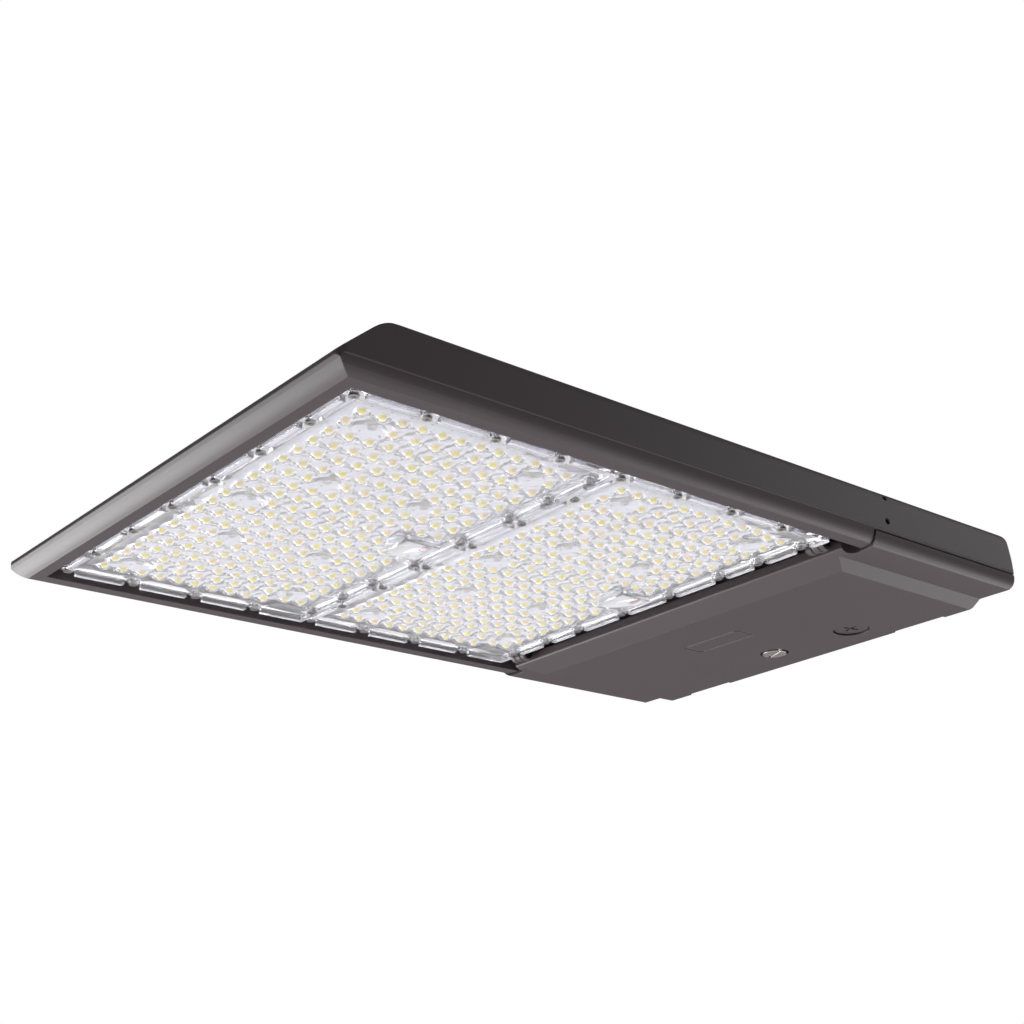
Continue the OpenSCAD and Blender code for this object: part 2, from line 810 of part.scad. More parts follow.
module supply_grommet() {
    color([0.1, 0.1, 0.1]) bush(0, 0, -pad_t, -1, entry_d / 2, grommet_bore / 2);
}

module lead_grommet() {
    color([0.1, 0.1, 0.1]) mirror([0, 1, 0])
        bush(0, lead_bore_z, -bulkhead_y[1], -bulkhead_y[0], 6, lead_bore_r);
}

module breather_vent() {
    color([0.15, 0.15, 0.15]) {
        cyl_y(vent_at[0], vent_at[1], 6 - screw_play, bulkhead_y[0], bulkhead_y[1] + 4);
        cyl_y(vent_at[0], vent_at[1], 7, bulkhead_y[0] - 5, bulkhead_y[0]);
    }
}

// ---- latch ----

// Steel cup on the post that takes the stud
module latch_receptacle() {
    at = [-latch_x, -latch_y];
    color("silver") difference() {
        cyl(at, cup_r, [cup_low, post_low]);
        cyl(at, cup_r - cup_wall, [cup_low - 1, post_low - 3.5]);
        for (p = receptacle_places) cyl(p, 1.6, [-30, 0]);
        for (p = receptacle_places) cyl(p, 2.9, [-30, post_low - 2.2]);
    }
}

module receptacle_screws() {
    color("silver") for (p = receptacle_places) screw(p, post_low - 2.2, 3, 8);
}

// Slotted head, shank and cross pin
module latch_stud() {
    at = [-latch_x, -latch_y];
    head_low = -panel_drop - latch_proud;
    head_high = -panel_drop + latch_recess_h;
    color("silver") difference() {
        union() {
            cyl(at, latch_head_d / 2, [head_low, head_high]);
            cyl(at, latch_shank_d / 2, [head_high, -8.5]);
            cyl_x(-latch_y, -10.5, 1.25, -latch_x - 5.4, -latch_x + 5.4);
        }
        translate([at[0], at[1], head_low]) rotate(latch_slot_angle)
            cube([latch_head_d + 2, latch_slot[0], 2 * latch_slot[1]], center = true);
    }
}

module latch_retainer() {
    at = [-latch_x, -latch_y];
    color([0.5, 0.5, 0.5]) difference() {
        cyl(at, 7, [latch_boss[1] + 0.1, latch_boss[1] + 1.3]);
        cyl(at, latch_shank_d / 2 + screw_play, [-30, 0]);
    }
}

// ---- door ----

module door_section(t) {
    polygon(both_sides(concat(
        [[panel_half - t * 0.48, -panel_drop + t],
         [panel_half + door_bevel - t * 0.48, -door_rim_drop + t]],
        t == 0 ? bulge([rim_half, -door_rim_drop], [half_w - ridge_step, part_z - part_gap], band_bulge, 7)
               : [[rim_half - t * 0.45, -door_rim_drop + t]],
        [[half_w - ridge_step - t, -12]]
    )));
}

// Outline along the door: rounded front edge, slope, panel and a small chamfer at the rear
module door_profile(t) {
    slope = atan2(panel_drop + door_edge_high, door_front - panel_front);
    edge_z = door_edge_high + door_front_r * (1 - sin(slope)) / cos(slope);
    polygon(concat(
        [[-door_front + t, part_z + 5]],
        t == 0 ? arc([-door_front + door_front_r, edge_z], door_front_r, 180, 270 - slope, 5)
               : [[-door_front + t, -door_rim_drop + t]],
        [[-panel_front + t * 0.3, -panel_drop + t], [-t - (t == 0 ? 1.2 : 0), -panel_drop + t],
         [-t, -panel_drop + t + (t == 0 ? 1.2 : 0)], [-t, part_z + 5]]
    ));
}

module door_plan(t) {
    difference() {
        rounded_rect([-half_w + t, half_w - t], [-door_front + t, -t], corner_r - t * 0.5);
        tongue(part_gap + t);
    }
}

module door_form(t, top) {
    intersection() {
        along_y(-door_front, 0) door_section(t);
        along_x(-half_w, half_w) door_profile(t);
        translate([0, 0, -50]) linear_extrude(50 + top) door_plan(t);
    }
}

// Land under the gasket
module seal_land() {
    ring(seal_ring[0] + 0.3, seal_ring[1] - 0.3, seal_ring[2] + 0.3, door_seal_w + 0.6,
        [-panel_drop + 1, door_seal_low]);
}

module door_ears() {
    mirrored() along_x(ear_x - ear_t / 2, ear_x + ear_t / 2) {
        translate([-hinge_y, -hinge_drop]) circle(ear_r);
        translate([-hinge_y, ear_web_low])
            square([hinge_y - door_front + 1, part_z - part_gap - ear_web_low]);
    }
}

// Plain rounded outline, pressed into the panel
module label_outline() {
    w = label_size[0] / 2;
    h = label_size[1] / 2;
    g = label_groove[0];
    translate([label_centre[0], label_centre[1], -panel_drop - 1]) linear_extrude(1 + label_groove[1])
        difference() {
            rounded_rect([-w, w], [-h, h], 3);
            rounded_rect([-w + g, w - g], [-h + g, h - g], 3 - g / 2);
        }
}

module door() {
    latch_at = [-latch_x, -latch_y];
    port_at = [port_x, -port_y];
    color([0.36, 0.34, 0.34]) difference() {
        union() {
            difference() {
                door_form(0, part_z - part_gap);
                door_form(door_t, part_z + 1);
            }
            intersection() {
                seal_land();
                door_form(0, part_z - part_gap);
            }
            door_ears();
            cyl(latch_at, latch_boss[0], [-panel_drop + 1, latch_boss[1]]);
            cyl(port_at, port_boss[0], [-panel_drop + 1, port_boss[1]]);
        }
        cyl(latch_at, latch_recess_d / 2, [-panel_drop - 1, -panel_drop + latch_recess_h]);
        cyl(latch_at, latch_shank_d / 2 + pin_play, [-40, 0]);
        cyl(port_at, port_recess_d / 2, [-panel_drop - 1, -panel_drop + port_recess_h]);
        cyl(port_at, port_thread_d / 2 + 0.2, [-40, 0]);
        mirrored() {
            cyl_x(-hinge_y, -hinge_drop, hinge_pin_d / 2 + pin_play, ear_x - 10, ear_x + 10);
            box(notch_x, [-notch_depth, 1], [-panel_drop - 1, -panel_drop + 8]);
        }
        label_outline();
    }
}

module door_gasket() {
    color([0.1, 0.1, 0.1])
        ring(seal_ring[0], seal_ring[1], seal_ring[2], door_seal_w, [door_seal_low, door_seal_high]);
}

module hinge_pins() {
    x0 = ear_x - ear_t / 2 - ear_play - cheek_t;
    x1 = ear_x + ear_t / 2 + ear_play + cheek_t;
    color("silver") mirrored() {
        cyl_x(-hinge_y, -hinge_drop, hinge_pin_d / 2, x0, x1 + 1);
        cyl_x(-hinge_y, -hinge_drop, hinge_pin_d / 2 + 1.5, x0 - 1.2, x0);
    }
}

module port_plug() {
    at = [port_x, -port_y];
    color([0.3, 0.28, 0.28]) difference() {
        union() {
            cyl(at, port_d / 2, [port_face, port_face + port_disc_t]);
            cyl(at, port_thread_d / 2, [port_face + port_disc_t, -17.5]);
        }
        cyl(at, port_thread_d / 2 - 3, [port_face + 4, -10]);
        for (a = [0, 90]) translate([at[0], at[1], port_face]) rotate(port_cross_angle + a)
            cube([port_cross[0], port_cross[1], 2 * port_cross[2]], center = true);
    }
}

module port_seal() {
    at = [port_x, -port_y];
    color([0.1, 0.1, 0.1]) difference() {
        cyl(at, port_d / 2 - 0.4, [port_face + port_disc_t, -panel_drop + port_recess_h]);
        cyl(at, port_thread_d / 2 + 0.2, [-40, 0]);
    }
}

module port_nut() {
    at = [port_x, -port_y];
    color("silver") difference() {
        translate([at[0], at[1], port_boss[1]]) cylinder(r = 15.5, h = 4, $fn = 6);
        cyl(at, port_thread_d / 2 + screw_play, [-40, 0]);
    }
}

housing();
bulkhead();
bulkhead_screws();
led_board(0);  // led_board_front
led_board(1);  // led_board_rear
leds(0);  // leds_front
leds(1);  // leds_rear
board_screws();
board_connector(0);  // board_connector_front
board_connector(1);  // board_connector_rear
led_leads(0);  // led_leads_front
led_leads(1);  // led_leads_rear
lens_gasket(0);  // lens_gasket_front
lens_gasket(1);  // lens_gasket_rear
lens(0);  // lens_front
lens(1);  // lens_rear
lens_screws();
driver_tray();
tray_screws();
driver_left();
driver_right();
driver_screws();
surge_protector();
terminal_block();
accessory_screws();
ground_screw();
supply_grommet();
lead_grommet();
breather_vent();
latch_receptacle();
receptacle_screws();
hinge_pins();
door();
door_gasket();
port_plug();
port_seal();
port_nut();
latch_stud();
latch_retainer();
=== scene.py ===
import math

import bmesh
import bpy
import numpy as np
from mathutils import Matrix, Vector
from mathutils.geometry import delaunay_2d_cdt


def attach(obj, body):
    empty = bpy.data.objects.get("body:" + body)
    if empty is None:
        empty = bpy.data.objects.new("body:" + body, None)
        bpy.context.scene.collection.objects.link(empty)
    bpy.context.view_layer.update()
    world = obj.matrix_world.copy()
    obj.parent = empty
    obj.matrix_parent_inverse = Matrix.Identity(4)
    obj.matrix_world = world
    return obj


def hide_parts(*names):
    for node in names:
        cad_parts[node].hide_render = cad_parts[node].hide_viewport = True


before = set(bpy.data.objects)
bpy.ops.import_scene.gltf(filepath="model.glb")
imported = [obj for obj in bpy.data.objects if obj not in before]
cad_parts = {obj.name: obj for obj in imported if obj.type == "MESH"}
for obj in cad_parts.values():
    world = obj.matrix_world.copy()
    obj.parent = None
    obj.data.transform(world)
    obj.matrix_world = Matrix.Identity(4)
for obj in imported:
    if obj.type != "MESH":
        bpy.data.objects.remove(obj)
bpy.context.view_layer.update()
MM = 0.001

# ---- the view and the studio ----
# The fixture hangs in the air as if on its pole, seen from below, in front and to its right.
# Everything below it is a pale floor that bounces soft light up into the lenses.
camera_place = Vector((0.7596, -0.9564, -0.3715))
camera_aim = Vector((0.0864, -0.3737, -0.0200))
camera_roll = math.radians(-2.09)
camera_data = bpy.data.cameras.new("view_from_below")
camera_data.lens = 56.495
camera_data.sensor_width = 36.0
camera = bpy.data.objects.new("view_from_below", camera_data)
bpy.context.scene.collection.objects.link(camera)
camera.rotation_mode = "QUATERNION"
camera.location = camera_place
look = (camera_aim - camera_place).to_track_quat("-Z", "Y").to_matrix()
camera.rotation_quaternion = (look @ Matrix.Rotation(camera_roll, 3, "Z")).to_quaternion()
bpy.context.scene.camera = camera
bpy.context.scene.view_settings.view_transform = "Standard"

floor_low = -1.15
floor_half = 14.0
floor_mesh = bpy.data.meshes.new("floor")
floor_mesh.from_pydata(
    [(x * floor_half, y * floor_half, floor_low) for x, y in ((-1, -1), (1, -1), (1, 1), (-1, 1))],
    [], [(0, 1, 2, 3)])
floor = bpy.data.objects.new("floor", floor_mesh)
bpy.context.scene.collection.objects.link(floor)
paper = bpy.data.materials.new("floor_paper")
paper.use_nodes = True
floor_mesh.materials.append(paper)


def white_when_seen(tree, plain, shown, out):
    """Mixes the plain shader with the shown one where the camera sees it, directly, through clear
    plastic or as a sharp reflection on it. The satin coat's reflections see the plain one."""
    path = tree.nodes.new("ShaderNodeLightPath")
    mixed = tree.nodes.new("ShaderNodeMixShader")
    seen = path.outputs["Is Camera Ray"]
    for ray in ("Is Transmission Ray", "Is Singular Ray"):
        either = tree.nodes.new("ShaderNodeMath")
        either.operation = "MAXIMUM"
        tree.links.new(seen, either.inputs[0])
        tree.links.new(path.outputs[ray], either.inputs[1])
        seen = either.outputs[0]
    tree.links.new(seen, mixed.inputs[0])
    tree.links.new(plain.outputs[0], mixed.inputs[1])
    tree.links.new(shown.outputs[0], mixed.inputs[2])
    tree.links.new(mixed.outputs[0], out.inputs["Surface"])


paper_bsdf = paper.node_tree.nodes["Principled BSDF"]
paper_bsdf.inputs["Base Color"].default_value = (0.86, 0.86, 0.87, 1)
paper_bsdf.inputs["Roughness"].default_value = 0.9
paper_white = paper.node_tree.nodes.new("ShaderNodeEmission")
paper_white.inputs["Color"].default_value = (1, 1, 1, 1)
white_when_seen(paper.node_tree, paper_bsdf, paper_white, paper.node_tree.nodes["Material Output"])


def soft_lamp(name, place, aim, size, power):
    """A square soft box at place that shines towards aim and that the camera doesn't see."""
    data = bpy.data.lights.new(name, "AREA")
    data.size = size
    data.energy = power
    lamp = bpy.data.objects.new(name, data)
    lamp.location = place
    lamp.rotation_mode = "QUATERNION"
    lamp.rotation_quaternion = (Vector(aim) - Vector(place)).to_track_quat("-Z", "Y")
    lamp.visible_camera = False
    bpy.context.scene.collection.objects.link(lamp)


body_middle = (0.0, -0.30, 0.0)
soft_lamp("lamp_below", (0.0, -0.3, -1.05), body_middle, 2.4, 13)
soft_lamp("lamp_nose", (-1.6, -1.0, -0.85), body_middle, 1.2, 44)
soft_lamp("lamp_rear", (0.15, 1.1, -0.95), body_middle, 0.8, 7)
soft_lamp("lamp_wall", (1.1, 1.7, 0.7), body_middle, 1.1, 5)

world = bpy.data.worlds.new("studio")
world.use_nodes = True
bpy.context.scene.world = world
tree = world.node_tree
tree.nodes.clear()
world_out = tree.nodes.new("ShaderNodeOutputWorld")
room = tree.nodes.new("ShaderNodeBackground")
room.inputs["Color"].default_value = (0.96, 0.97, 1.0, 1)
room.inputs["Strength"].default_value = 0.26
backdrop = tree.nodes.new("ShaderNodeBackground")
backdrop.inputs["Color"].default_value = (1, 1, 1, 1)
backdrop.inputs["Strength"].default_value = 1.0
white_when_seen(tree, room, backdrop, world_out)


# ---- the housing ----
# One die-cast aluminium shell: sloped nose, side walls, rim, LED deck with fins, driver bay.
# It is powder coated dark bronze, a satin film with a very fine orange peel.
def powder_film():
    """Group: a colour varied softly over decimetres; the film's fine peel as gloss and height."""
    group = bpy.data.node_groups.new("powder_film", "ShaderNodeTree")
    side = group.interface
    side.new_socket("Color", in_out="INPUT", socket_type="NodeSocketColor")
    side.new_socket("Peel", in_out="INPUT", socket_type="NodeSocketFloat")
    side.new_socket("Color", in_out="OUTPUT", socket_type="NodeSocketColor")
    side.new_socket("Roughness", in_out="OUTPUT", socket_type="NodeSocketFloat")
    side.new_socket("Height", in_out="OUTPUT", socket_type="NodeSocketFloat")
    nodes, links = group.nodes, group.links
    inside = nodes.new("NodeGroupInput")
    outside = nodes.new("NodeGroupOutput")
    where = nodes.new("ShaderNodeTexCoord")
    peel = nodes.new("ShaderNodeTexNoise")
    peel.inputs["Detail"].default_value = 3.0
    cloud = nodes.new("ShaderNodeTexNoise")
    cloud.inputs["Scale"].default_value = 11.0
    cloud.inputs["Detail"].default_value = 2.0
    shade = nodes.new("ShaderNodeMapRange")
    shade.inputs["To Min"].default_value = 0.94
    shade.inputs["To Max"].default_value = 1.06
    tint = nodes.new("ShaderNodeMix")
    tint.data_type = "RGBA"
    tint.blend_type = "MULTIPLY"
    tint.inputs["Factor"].default_value = 1.0
    speck = nodes.new("ShaderNodeMapRange")
    speck.inputs["To Min"].default_value = 0.40
    speck.inputs["To Max"].default_value = 0.52
    for noise in (peel, cloud):
        links.new(where.outputs["Object"], noise.inputs["Vector"])
    links.new(inside.outputs["Peel"], peel.inputs["Scale"])
    links.new(cloud.outputs["Fac"], shade.inputs["Value"])
    links.new(inside.outputs["Color"], tint.inputs["A"])
    links.new(shade.outputs["Result"], tint.inputs["B"])
    links.new(peel.outputs["Fac"], speck.inputs["Value"])
    links.new(tint.outputs["Result"], outside.inputs["Color"])
    links.new(speck.outputs["Result"], outside.inputs["Roughness"])
    links.new(peel.outputs["Fac"], outside.inputs["Height"])
    return group


film = powder_film()
join_reach = 0.002 * MM
flat_angle = math.radians(0.4)


def coated(name, colour):
    """Satin powder coat of one colour over cast metal."""
    material = bpy.data.materials.new(name)
    material.use_nodes = True
    nodes, links = material.node_tree.nodes, material.node_tree.links
    bsdf = nodes["Principled BSDF"]
    layer = nodes.new("ShaderNodeGroup")
    layer.node_tree = film
    layer.inputs["Color"].default_value = (*colour, 1)
    layer.inputs["Peel"].default_value = 1500.0
    bump = nodes.new("ShaderNodeBump")
    bump.inputs["Strength"].default_value = 0.35
    bump.inputs["Distance"].default_value = 0.00003
    links.new(layer.outputs["Color"], bsdf.inputs["Base Color"])
    links.new(layer.outputs["Roughness"], bsdf.inputs["Roughness"])
    links.new(layer.outputs["Height"], bump.inputs["Height"])
    links.new(bump.outputs["Normal"], bsdf.inputs["Normal"])
    return material


def merged_faces(node):
    """An editable copy of a CAD node, its triangles merged into flat faces."""
    bm = bmesh.new()
    bm.from_mesh(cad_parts[node].data)
    bmesh.ops.remove_doubles(bm, verts=bm.verts, dist=join_reach)
    bmesh.ops.dissolve_limit(bm, angle_limit=flat_angle, verts=bm.verts, edges=bm.edges)
    return bm


def smooth_object(bm, name, material, sharp_angle):
    """A smooth-shaded object from the editable copy; its edges stay sharp from this angle on."""
    mesh = bpy.data.meshes.new(name)
    bm.to_mesh(mesh)
    bm.free()
    mesh.materials.clear()
    mesh.materials.append(material)
    piece = bpy.data.objects.new(name, mesh)
    bpy.context.scene.collection.objects.link(piece)
    mesh.shade_smooth()
    mesh.set_sharp_from_angle(angle=sharp_angle)
    return piece


def merged_copy(node, name, material, body, round_edge, sharp_degrees=28.0):
    """A CAD node with merged faces and a bevel of this width on every sharp edge. The normals are
    weighted by area, so that the faces beside a bevel look flat."""
    sharp_angle = math.radians(sharp_degrees)
    piece = smooth_object(merged_faces(node), name, material, sharp_angle)
    bevel = piece.modifiers.new("rounded_edges", "BEVEL")
    bevel.width = round_edge
    bevel.segments = 2
    bevel.limit_method = "ANGLE"
    bevel.angle_limit = sharp_angle
    bevel.use_clamp_overlap = False
    bevel.harden_normals = True
    flatten = piece.modifiers.new("flat_faces_stay_flat", "WEIGHTED_NORMAL")
    flatten.keep_sharp = True
    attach(piece, body)
    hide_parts(node)


bronze = coated("bronze_powder_coat", (0.058, 0.043, 0.046))
merged_copy("housing", "housing_casting", bronze, "fixture", 0.4 * MM)

# ---- the bulkhead ----
# A bare machined plate between the hinge gap and the driver bay, sealed to the door.
# Two black screws come through each side wall of the housing and hold it.
def grain():
    """Group: a colour varied a little by fine noise, and the same noise as a mask."""
    group = bpy.data.node_groups.new("grain", "ShaderNodeTree")
    side = group.interface
    side.new_socket("Color", in_out="INPUT", socket_type="NodeSocketColor")
    side.new_socket("Scale", in_out="INPUT", socket_type="NodeSocketFloat")
    side.new_socket("Stretch", in_out="INPUT", socket_type="NodeSocketVector")
    side.new_socket("Color", in_out="OUTPUT", socket_type="NodeSocketColor")
    side.new_socket("Mask", in_out="OUTPUT", socket_type="NodeSocketFloat")
    nodes, links = group.nodes, group.links
    inside = nodes.new("NodeGroupInput")
    outside = nodes.new("NodeGroupOutput")
    where = nodes.new("ShaderNodeTexCoord")
    stretched = nodes.new("ShaderNodeVectorMath")
    stretched.operation = "MULTIPLY"
    noise = nodes.new("ShaderNodeTexNoise")
    noise.inputs["Detail"].default_value = 4.0
    shade = nodes.new("ShaderNodeMapRange")
    shade.inputs["To Min"].default_value = 0.88
    shade.inputs["To Max"].default_value = 1.10
    tint = nodes.new("ShaderNodeMix")
    tint.data_type = "RGBA"
    tint.blend_type = "MULTIPLY"
    tint.inputs["Factor"].default_value = 1.0
    links.new(where.outputs["Object"], stretched.inputs[0])
    links.new(inside.outputs["Stretch"], stretched.inputs[1])
    links.new(stretched.outputs[0], noise.inputs["Vector"])
    links.new(inside.outputs["Scale"], noise.inputs["Scale"])
    links.new(noise.outputs["Fac"], shade.inputs["Value"])
    links.new(inside.outputs["Color"], tint.inputs["A"])
    links.new(shade.outputs["Result"], tint.inputs["B"])
    links.new(tint.outputs["Result"], outside.inputs["Color"])
    links.new(noise.outputs["Fac"], outside.inputs["Mask"])
    return group


grain_group = grain()


def finish(name, colour, rough, metallic=0.0, scale=600.0, stretch=(1, 1, 1), bump=0.2):
    """A material whose colour, gloss and surface vary with fine grain; rough is (least, most)."""
    material = bpy.data.materials.new(name)
    material.use_nodes = True
    nodes, links = material.node_tree.nodes, material.node_tree.links
    bsdf = nodes["Principled BSDF"]
    bsdf.inputs["Metallic"].default_value = metallic
    layer = nodes.new("ShaderNodeGroup")
    layer.node_tree = grain_group
    layer.inputs["Color"].default_value = (*colour, 1)
    layer.inputs["Scale"].default_value = scale
    layer.inputs["Stretch"].default_value = stretch
    gloss = nodes.new("ShaderNodeMapRange")
    gloss.inputs["To Min"].default_value = rough[0]
    gloss.inputs["To Max"].default_value = rough[1]
    relief = nodes.new("ShaderNodeBump")
    relief.inputs["Strength"].default_value = bump
    relief.inputs["Distance"].default_value = 0.00004
    links.new(layer.outputs["Color"], bsdf.inputs["Base Color"])
    links.new(layer.outputs["Mask"], gloss.inputs["Value"])
    links.new(gloss.outputs["Result"], bsdf.inputs["Roughness"])
    links.new(layer.outputs["Mask"], relief.inputs["Height"])
    links.new(relief.outputs["Normal"], bsdf.inputs["Normal"])
    return material


def give(material, *names):
    """The CAD nodes of these names get the material in place of their plain one."""
    for name in names:
        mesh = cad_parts[name].data
        mesh.materials.clear()
        mesh.materials.append(material)


bare_casting = finish("bare_casting", (0.34, 0.33, 0.33), (0.42, 0.6), 0.9, 350.0, bump=0.35)
give(bare_casting, "bulkhead")
black_oxide = finish("black_oxide_steel", (0.018, 0.018, 0.019), (0.3, 0.48), 0.6, 900.0)
give(black_oxide, "bulkhead_screws")

# ---- the LED boards ----
# Two metal-core boards with white solder mask lie against the deck, each held by nine screws.
# Small dark dots are painted on the mask, about halfway between the LED rows.
dark_dot_pitch = (15.0 * MM, 13.15 * MM)
dark_dot_offset = (-7.8 * MM, 1.2 * MM)
dark_dot_radius = 0.8 * MM
led_first = (142.5 * MM, -522.0 * MM)


def solder_mask():
    """White mask of a slightly clouded tone, with one painted dark dot in each cell of the LED
    grid: where sqrt(x^2 + y^2), measured from the cell's dot centre, is less than the dot's
    radius."""
    material = bpy.data.materials.new("white_solder_mask")
    material.use_nodes = True
    nodes, links = material.node_tree.nodes, material.node_tree.links
    bsdf = nodes["Principled BSDF"]
    bsdf.inputs["Roughness"].default_value = 0.38

    def math_node(operation, first, second=None):
        node = nodes.new("ShaderNodeMath")
        node.operation = operation
        for socket, value in zip(node.inputs, (first, second)):
            if isinstance(value, (int, float)):
                socket.default_value = value
            elif value is not None:
                links.new(value, socket)
        return node.outputs[0]

    where = nodes.new("ShaderNodeTexCoord")
    split = nodes.new("ShaderNodeSeparateXYZ")
    links.new(where.outputs["Object"], split.inputs[0])
    off = []
    for axis, pitch, start, shift in zip("XY", dark_dot_pitch, led_first, dark_dot_offset):
        from_dot = math_node("SUBTRACT", split.outputs[axis], start + shift)
        cells = math_node("DIVIDE", from_dot, pitch)
        nearest = math_node("SUBTRACT", cells, math_node("ROUND", cells))
        off.append(math_node("MULTIPLY", nearest, pitch))
    squares = [math_node("POWER", part, 2.0) for part in off]
    away = math_node("SQRT", math_node("ADD", *squares))
    # The painted dark dot: one round dark mark per cell of the LED grid.
    dark = math_node("LESS_THAN", away, dark_dot_radius)
    cloud = nodes.new("ShaderNodeTexNoise")
    cloud.inputs["Scale"].default_value = 60.0
    links.new(where.outputs["Object"], cloud.inputs["Vector"])
    white = nodes.new("ShaderNodeMix")
    white.data_type = "RGBA"
    white.inputs["A"].default_value = (0.80, 0.80, 0.86, 1)
    white.inputs["B"].default_value = (0.88, 0.88, 0.92, 1)
    links.new(cloud.outputs["Fac"], white.inputs["Factor"])
    painted = nodes.new("ShaderNodeMix")
    painted.data_type = "RGBA"
    painted.inputs["B"].default_value = (0.20, 0.19, 0.24, 1)
    links.new(dark, painted.inputs["Factor"])
    links.new(white.outputs["Result"], painted.inputs["A"])
    links.new(painted.outputs["Result"], bsdf.inputs["Base Color"])
    return material


give(solder_mask(), "led_board_front", "led_board_rear")
zinc = finish("zinc_steel", (0.46, 0.46, 0.48), (0.3, 0.45), 0.9, 900.0)
give(zinc, "board_screws")
white_nylon = finish("white_nylon", (0.80, 0.80, 0.77), (0.35, 0.5), 0.0, 500.0)
give(white_nylon, "board_connector_front", "board_connector_rear", "terminal_block")
red_lead = finish("silicone_lead", (0.42, 0.03, 0.03), (0.42, 0.6), 0.0, 700.0)
give(red_lead, "led_leads_front", "led_leads_rear")

# ---- the LEDs ----
# White ceramic packages, each with a cap of silicone full of yellow phosphor, soldered to the
# boards. Their colour runs from greenish yellow to nearly peach, and more are near the first.
led_half = 2.5 * MM
phosphor_radius = 2.45 * MM
phosphor_height = 2.2 * MM
phosphor_sides = 12
phosphor_leans = (60, 30)
bin_bias = 1.6


def solids_of(node):
    """Lowest and highest corners of the separate solids of a CAD node. Corners are matched to the
    micrometre, and triangles that share one take its least number until no number changes."""
    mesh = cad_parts[node].data
    points = np.empty(len(mesh.vertices) * 3)
    mesh.vertices.foreach_get("co", points)
    corners = np.empty(len(mesh.loops), int)
    mesh.loops.foreach_get("vertex_index", corners)
    spots, same = np.unique(np.round(points.reshape(-1, 3), 6), axis=0, return_inverse=True)
    triangles = same.ravel()[corners.reshape(-1, 3)]
    number = np.arange(len(spots))
    while True:
        least = number.copy()
        np.minimum.at(least, triangles.ravel(), np.repeat(number[triangles].min(1), 3))
        if (least == number).all():
            break
        number = least
    solid = np.unique(number, return_inverse=True)[1].ravel()
    low = np.full((solid.max() + 1, 3), np.inf)
    high = -low
    np.minimum.at(low, solid, spots)
    np.maximum.at(high, solid, spots)
    return low, high


ceramic = finish("led_ceramic", (0.86, 0.85, 0.84), (0.3, 0.4), 0.0, 2000.0)
phosphor = bpy.data.materials.new("led_phosphor")
phosphor.use_nodes = True
phosphor_bsdf = phosphor.node_tree.nodes["Principled BSDF"]
phosphor_bsdf.inputs["Roughness"].default_value = 0.35
bin_value = phosphor.node_tree.nodes.new("ShaderNodeAttribute")
bin_value.attribute_name = "colour_bin"
bins = phosphor.node_tree.nodes.new("ShaderNodeMix")
bins.data_type = "RGBA"
bins.inputs["A"].default_value = (0.97, 0.86, 0.10, 1)
bins.inputs["B"].default_value = (0.99, 0.74, 0.30, 1)
phosphor.node_tree.links.new(bin_value.outputs["Fac"], bins.inputs["Factor"])
phosphor.node_tree.links.new(bins.outputs["Result"], phosphor_bsdf.inputs["Base Color"])


def led_field(node, name, seed):
    """One package repeated at every LED: a box below the board and half an ellipsoid on its face,
    with rings of radius r sin(a) at the height h cos(a), for the angle a from its pole."""
    low, high = solids_of(node)
    centres = (low + high) / 2
    top, face = high[0, 2], low[0, 2]
    square = np.array([(-1, -1), (1, -1), (1, 1), (-1, 1)]) * led_half
    n = phosphor_sides
    angle = np.arange(n) * 2 * np.pi / n
    circle = np.c_[np.cos(angle), np.sin(angle)] * phosphor_radius
    rings = [(square, top), (square, face), (circle, face)]
    for lean in np.radians(phosphor_leans):
        rings.append((circle * np.sin(lean), face - phosphor_height * np.cos(lean)))
    rings.append((np.zeros((1, 2)), face - phosphor_height))
    shape = np.vstack([np.c_[ring, np.full(len(ring), z)] for ring, z in rings])
    faces = [(0, 1, 2, 3), (7, 6, 5, 4)]
    faces += [(i, 4 + i, 4 + (i + 1) % 4, (i + 1) % 4) for i in range(4)]
    package_faces = len(faces)
    base = 2 * len(square)
    for _ in phosphor_leans:
        faces += [(base + i, base + n + i, base + n + (i + 1) % n, base + (i + 1) % n)
                  for i in range(n)]
        base += n
    faces += [(base + i, base + n, base + (i + 1) % n) for i in range(n)]
    step = len(shape)
    points = (shape[None] + np.c_[centres[:, :2], np.zeros(len(centres))][:, None]).reshape(-1, 3)
    every = [tuple(v + k * step for v in f) for k in range(len(centres)) for f in faces]
    mesh = bpy.data.meshes.new(name)
    mesh.from_pydata([tuple(p) for p in points], [], every)
    mesh.materials.append(ceramic)
    mesh.materials.append(phosphor)
    domed = np.tile(np.arange(len(faces)) >= package_faces, len(centres))
    mesh.polygons.foreach_set("material_index", domed.astype(int))
    mesh.polygons.foreach_set("use_smooth", domed)
    chance = np.random.default_rng(seed).random(len(centres)) ** bin_bias
    colour_bin = mesh.attributes.new("colour_bin", "FLOAT", "FACE")
    colour_bin.data.foreach_set("value", np.repeat(chance, len(faces)).astype(np.float32))
    piece = bpy.data.objects.new(name, mesh)
    bpy.context.scene.collection.objects.link(piece)
    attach(piece, "fixture")
    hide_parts(node)
    return centres


leds_front = led_field("leds_front", "led_packages_front", 3)
leds_rear = led_field("leds_rear", "led_packages_rear", 4)

